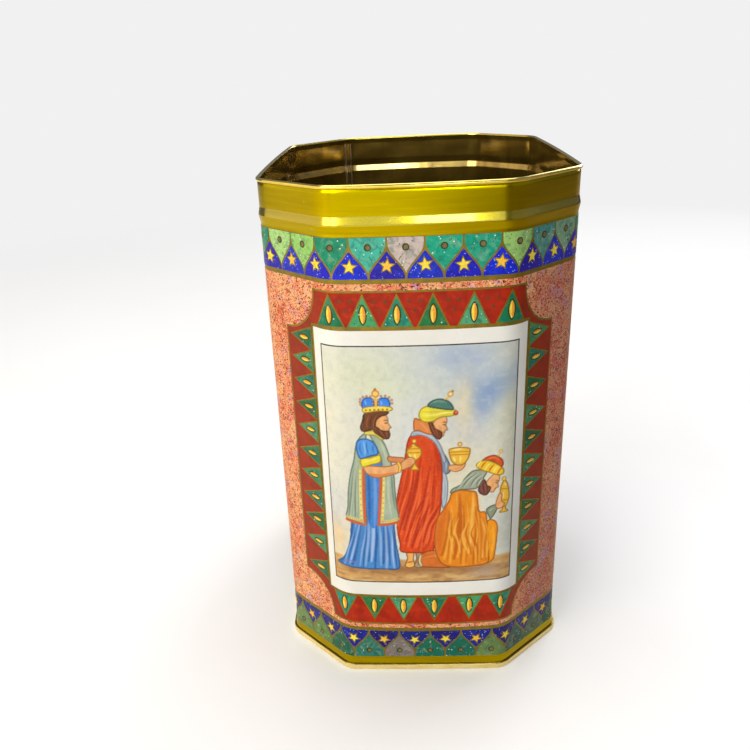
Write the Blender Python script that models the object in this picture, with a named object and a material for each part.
"""Spice tin: an open, eight-sided tinplate canister, taller than it is deep and deeper than it is wide.

It is two pieces of thin sheet metal:
  body_shell  one sheet bent round the plan and closed by an upright lock seam. It carries the rolled
              rim, the bead of the neck, the flared foot and the hook of the bottom seam.
  base_end    the pressed bottom. Its edge is rolled round the body's hook in a double seam.

Metres, +Z up. The origin is the centre of the footprint, on the table. The front panel faces -Y.
A sheet is described by its section, a centre line of (offset, z) points, where an offset counts
outwards from the outer face of the straight wall. The section is then carried round the plan.
"""

import math

import bmesh
import bpy
from mathutils import Vector

MM = 0.001

# Driving dimensions: the plan, as lengths of sheet from bend to bend, and how far each one turns
FRONT_LENGTH = 56.8 * MM
CHAMFER_LENGTH = 27.2 * MM
SIDE_LENGTH = 102.0 * MM
BEND_LENGTH = 9.6 * MM
FRONT_BULGE = math.radians(12.4)
CHAMFER_BULGE = math.radians(1.5)
SIDE_BULGE = math.radians(3.4)
HEIGHT = 207.4 * MM
SHEET = 0.25 * MM

# The bottom seam holds the plan flatter and its bends tighter than the wall above
FOOT_BULGE_SHARE = 0.2
FOOT_BEND_SHARE = 0.6
BULGE_TOP = 26.0 * MM

# Rolled rim, drawn in so that a slip-on lid passes it, and the bead round the neck that stops the lid
CURL_DIAMETER = 1.5 * MM
CURL_TURN = math.radians(295)
CURL_INSET = 0.45 * MM
BEAD_HEIGHT = 193.8 * MM
BEAD_HALF_WIDTH = 2.9 * MM
BEAD_RISE = 0.6 * MM

# Flared foot and the double seam below it
FLARE_TOP = 13.0 * MM
FLARE_OUT = 0.8 * MM
SEAM_HEIGHT = 3.0 * MM
SEAM_GAP = 0.15 * MM
SEAM_CORNER = 0.45 * MM
HOOK_CLEARANCE = 0.1 * MM

# Pressed panel of the base
PANEL_HEIGHT = 3.3 * MM
PANEL_RADIUS = 0.8 * MM
STEP_INSET = 3.4 * MM
STEP_WIDTH = 1.2 * MM
STEP_RISE = 0.7 * MM

# Upright lock seam: a folded rib on the inside of the bend between back panel and left chamfer
LOCK_WIDTH = 3.4 * MM
LOCK_DEPTH = 0.75 * MM
LOCK_BOTTOM = 4.4 * MM
LOCK_TOP_GAP = 2.2 * MM
LOCK_SLOPE = 0.3 * MM

# Facets
FRONT_STEPS = 4
BEND_STEPS = 5
SIDE_STEPS = 2
CURL_STEPS = 11
FOLD_STEPS = 4
CORNER_STEPS = 2
FLARE_STEPS = 3
BULGE_STEPS = 3
BEAD_STEPS = 6

# Worked out from the dimensions above
QUARTER = FRONT_LENGTH / 2 + BEND_LENGTH + CHAMFER_LENGTH + BEND_LENGTH + SIDE_LENGTH / 2
LOCK_PLACE = 2 * QUARTER + FRONT_LENGTH / 2 + BEND_LENGTH / 2
LAYER = SHEET + SEAM_GAP
CURL_RADIUS = (CURL_DIAMETER - SHEET) / 2
CURL_CENTRE = HEIGHT - CURL_DIAMETER / 2
LOCK_TOP = CURL_CENTRE - LOCK_TOP_GAP
SEAM_OFFSET = FLARE_OUT - SHEET / 2
BODY_FOLD_Z = SHEET / 2 + 2 * LAYER
END_FOLD_Z = SEAM_HEIGHT - SHEET / 2 - LAYER


def clear_scene():
    for obj in list(bpy.data.objects):
        bpy.data.objects.remove(obj, do_unlink=True)


def arc(centre_x, centre_z, radius, start, end, steps):
    """Points of an arc in the section, from one angle to the other, in degrees."""
    points = []
    for step in range(steps + 1):
        angle = math.radians(start + (end - start) * step / steps)
        points.append((centre_x + radius * math.cos(angle), centre_z + radius * math.sin(angle)))
    return points


# ---------------------------------------------------------------- plan


def quarter_arcs(fullness):
    """A quarter of the plan as (length, turn) arcs, from the middle of the front to that of a side.

    Fullness is 0 at the bottom seam and 1 on the wall. The length of sheet is the same at both.
    """
    bulge = FOOT_BULGE_SHARE + (1 - FOOT_BULGE_SHARE) * fullness
    bend = BEND_LENGTH * (FOOT_BEND_SHARE + (1 - FOOT_BEND_SHARE) * fullness)
    spare = (BEND_LENGTH - bend) / 2
    front, chamfer, side = (bulge * turn for turn in (FRONT_BULGE, CHAMFER_BULGE, SIDE_BULGE))
    corner = math.radians(45)
    return [
        (FRONT_LENGTH / 2 + spare, front / 2),
        (bend, corner - front / 2 - chamfer / 2),
        (CHAMFER_LENGTH + 2 * spare, chamfer),
        (bend, corner - chamfer / 2 - side / 2),
        (SIDE_LENGTH / 2 + spare, side / 2),
    ]


def walk(arcs, distance):
    """Place and heading after this distance along the arcs, starting at (0, 0) along +X."""
    x, y, heading = 0.0, 0.0, 0.0
    for length, turn in arcs:
        reach = min(distance, length)
        radius = length / turn
        after = heading + reach / radius
        x += radius * (math.sin(after) - math.sin(heading))
        y += radius * (math.cos(heading) - math.cos(after))
        heading = after
        distance -= reach
        if distance <= 0:
            break
    return x, y, heading


def plan_point(distance, offset, fullness):
    """The plan point at this distance round the sheet, anticlockwise from the middle of the front."""
    arcs = quarter_arcs(fullness)
    half_depth = walk(arcs, QUARTER)[1]
    quarter, along = divmod(distance, QUARTER)
    if quarter % 2:
        along = QUARTER - along
    x, y, heading = walk(arcs, along)
    x += math.sin(heading) * offset
    y -= half_depth + math.cos(heading) * offset
    if quarter in (1, 2):
        y = -y
    if quarter in (2, 3):
        x = -x
    return x, y


def even_steps(start, length, steps):
    return [start + length * step / steps for step in range(steps)]


def panel_stations():
    """Distances round the sheet at which both pieces have an upright line of points."""
    stations = []
    stretches = [
        (FRONT_LENGTH, FRONT_STEPS),
        (BEND_LENGTH, BEND_STEPS),
        (CHAMFER_LENGTH, 1),
        (BEND_LENGTH, BEND_STEPS),
        (SIDE_LENGTH, SIDE_STEPS),
        (BEND_LENGTH, BEND_STEPS),
        (CHAMFER_LENGTH, 1),
        (BEND_LENGTH, BEND_STEPS),
    ]
    place = -FRONT_LENGTH / 2
    for length, steps in stretches + stretches:
        stations += even_steps(place, length, steps)
        place += length
    return sorted(distance % (4 * QUARTER) for distance in stations)


def lock_share(distance):
    """How much of the lock seam's depth the sheet has here, from 0 to 1."""
    inside = LOCK_WIDTH / 2 - abs(distance - LOCK_PLACE)
    return min(max(inside / LOCK_SLOPE, 0.0), 1.0)


def body_stations():
    """The panel stations, with the edges of the lock seam's rib among them."""
    edges = [LOCK_WIDTH / 2, LOCK_WIDTH / 2 - LOCK_SLOPE]
    rib = [LOCK_PLACE + sign * edge for edge in edges for sign in (-1, 1)]
    return sorted(panel_stations() + rib)


# ---------------------------------------------------------------- sections


def fullness_at(z):
    """The plan's fullness at this height: 0 at the bottom seam, and 1 from BULGE_TOP up."""
    rise = min(max((z - SEAM_HEIGHT) / (BULGE_TOP - SEAM_HEIGHT), 0.0), 1.0)
    return rise * rise * (3 - 2 * rise)


def wall_offset(z):
    """How far the wall's outer face stands out at this height."""
    offset = 0.0
    if z < FLARE_TOP:
        drop = FLARE_TOP - max(z, SEAM_HEIGHT)
        full_drop = FLARE_TOP - SEAM_HEIGHT
        radius = (full_drop**2 + FLARE_OUT**2) / (2 * FLARE_OUT)
        offset = radius - math.sqrt(radius**2 - drop**2)
    from_bead = abs(z - BEAD_HEIGHT) / BEAD_HALF_WIDTH
    if from_bead < 1:
        offset += BEAD_RISE * (1 + math.cos(math.pi * from_bead)) / 2
    return offset


def wall_levels():
    """Heights at which the wall's section has a point."""
    levels = [LOCK_BOTTOM, LOCK_BOTTOM + LOCK_SLOPE, LOCK_TOP - LOCK_SLOPE, LOCK_TOP]
    for step in range(FLARE_STEPS + 1):
        levels.append(SEAM_HEIGHT + (FLARE_TOP - SEAM_HEIGHT) * step / FLARE_STEPS)
    for step in range(1, BULGE_STEPS + 1):
        levels.append(FLARE_TOP + (BULGE_TOP - FLARE_TOP) * step / BULGE_STEPS)
    for step in range(BEAD_STEPS + 1):
        levels.append(BEAD_HEIGHT + BEAD_HALF_WIDTH * (2 * step / BEAD_STEPS - 1))
    return sorted(levels)


def body_centre_line():
    """From the free edge of the bottom hook, up the wall, to the free edge of the rim's curl."""
    hook_x = SEAM_OFFSET + 2 * LAYER
    line = [(hook_x, END_FOLD_Z - HOOK_CLEARANCE)]
    line += arc(SEAM_OFFSET + LAYER, BODY_FOLD_Z, LAYER, 0, -180, FOLD_STEPS)
    line += [(wall_offset(z) - SHEET / 2, z) for z in wall_levels()]
    curl_x = CURL_RADIUS - SHEET / 2 - CURL_INSET
    line += arc(curl_x, CURL_CENTRE, CURL_RADIUS, 180, 180 - math.degrees(CURL_TURN), CURL_STEPS)
    return line


def base_centre_line():
    """From the free edge of the end hook, round the seam and up the inner wall, to the panel's step."""
    inner = SEAM_OFFSET - LAYER
    outer = SEAM_OFFSET + 3 * LAYER
    low = SHEET / 2 + SEAM_CORNER
    line = [(SEAM_OFFSET + LAYER, BODY_FOLD_Z + HOOK_CLEARANCE)]
    line += arc(SEAM_OFFSET + 2 * LAYER, END_FOLD_Z, LAYER, 180, 0, FOLD_STEPS)
    line += arc(outer - SEAM_CORNER, low, SEAM_CORNER, 0, -90, CORNER_STEPS)
    line += arc(inner + SEAM_CORNER, low, SEAM_CORNER, -90, -180, CORNER_STEPS)
    radius_z = PANEL_HEIGHT - PANEL_RADIUS
    line += arc(inner - PANEL_RADIUS, radius_z, PANEL_RADIUS, 0, 90, CORNER_STEPS)
    line += [
        (-STEP_INSET, PANEL_HEIGHT),
        (-STEP_INSET - STEP_WIDTH, PANEL_HEIGHT + STEP_RISE),
        (-STEP_INSET - 2 * STEP_WIDTH, PANEL_HEIGHT + STEP_RISE),
    ]
    return line


def sheet_faces(line):
    """The two faces of a sheet with this centre line, as (left-hand points, right-hand points)."""
    points = [Vector(point) for point in line]
    left, right = [], []
    for index, point in enumerate(points):
        before = points[max(index - 1, 0)]
        after = points[min(index + 1, len(points) - 1)]
        arriving = (point - before).normalized() if index else (after - point).normalized()
        leaving = (after - point).normalized() if index < len(points) - 1 else arriving
        across = Vector((-arriving.y - leaving.y, arriving.x + leaving.x)).normalized()
        reach = SHEET / 2 / across.dot(Vector((-arriving.y, arriving.x)))
        left.append(point + across * reach)
        right.append(point - across * reach)
    return left, right


# ---------------------------------------------------------------- solids


def add_ring(mesh, stations, offset, z, rib=0.0):
    """A closed ring of points at one offset and height. The rib sets it inwards at the lock seam."""
    ring = []
    for distance in stations:
        x, y = plan_point(distance, offset - rib * lock_share(distance), fullness_at(z))
        ring.append(mesh.verts.new((x, y, z)))
    return ring


def bridge(mesh, rings):
    """Quads between each ring and the next."""
    for lower, upper in zip(rings, rings[1:]):
        for index in range(len(lower)):
            after = (index + 1) % len(lower)
            mesh.faces.new((lower[index], lower[after], upper[after], upper[index]))


def finish_object(name, mesh, material):
    bmesh.ops.recalc_face_normals(mesh, faces=mesh.faces)
    if mesh.calc_volume(signed=True) < 0:
        bmesh.ops.reverse_faces(mesh, faces=mesh.faces)
    data = bpy.data.meshes.new(name)
    mesh.to_mesh(data)
    mesh.free()
    data.materials.append(material)
    data.shade_smooth()
    data.set_sharp_from_angle(angle=math.radians(40))
    obj = bpy.data.objects.new(name, data)
    bpy.context.scene.collection.objects.link(obj)
    return obj


def make_body_shell(material):
    inner, outer = sheet_faces(body_centre_line())
    stations = body_stations()
    mesh = bmesh.new()
    rings = [add_ring(mesh, stations, point.x, point.y) for point in reversed(outer)]
    for point in inner:
        on_wall = LOCK_BOTTOM < point.y < LOCK_TOP and point.x < 0
        rib = LOCK_DEPTH if on_wall else 0.0
        rings.append(add_ring(mesh, stations, point.x, point.y, rib))
    rings.append(rings[0])
    bridge(mesh, rings)
    return finish_object("body_shell", mesh, material)


def make_base_end(material):
    first, second = sheet_faces(base_centre_line())
    stations = panel_stations()
    mesh = bmesh.new()
    section = list(reversed(first)) + second
    rings = [add_ring(mesh, stations, point.x, point.y) for point in section]
    bridge(mesh, rings)
    mesh.faces.new(rings[0])
    mesh.faces.new(rings[-1])
    return finish_object("base_end", mesh, material)


def make_material(name, colour, metallic, roughness):
    material = bpy.data.materials.new(name)
    material.use_nodes = True
    surface = material.node_tree.nodes["Principled BSDF"]
    surface.inputs["Base Color"].default_value = (*colour, 1.0)
    surface.inputs["Metallic"].default_value = metallic
    surface.inputs["Roughness"].default_value = roughness
    material.diffuse_color = (*colour, 1.0)
    return material


def build():
    clear_scene()
    printed = make_material("printed_tinplate", (0.62, 0.24, 0.13), 0.3, 0.35)
    gold = make_material("gold_lacquered_tinplate", (0.52, 0.38, 0.04), 0.9, 0.3)
    make_body_shell(printed)
    make_base_end(gold)


build()
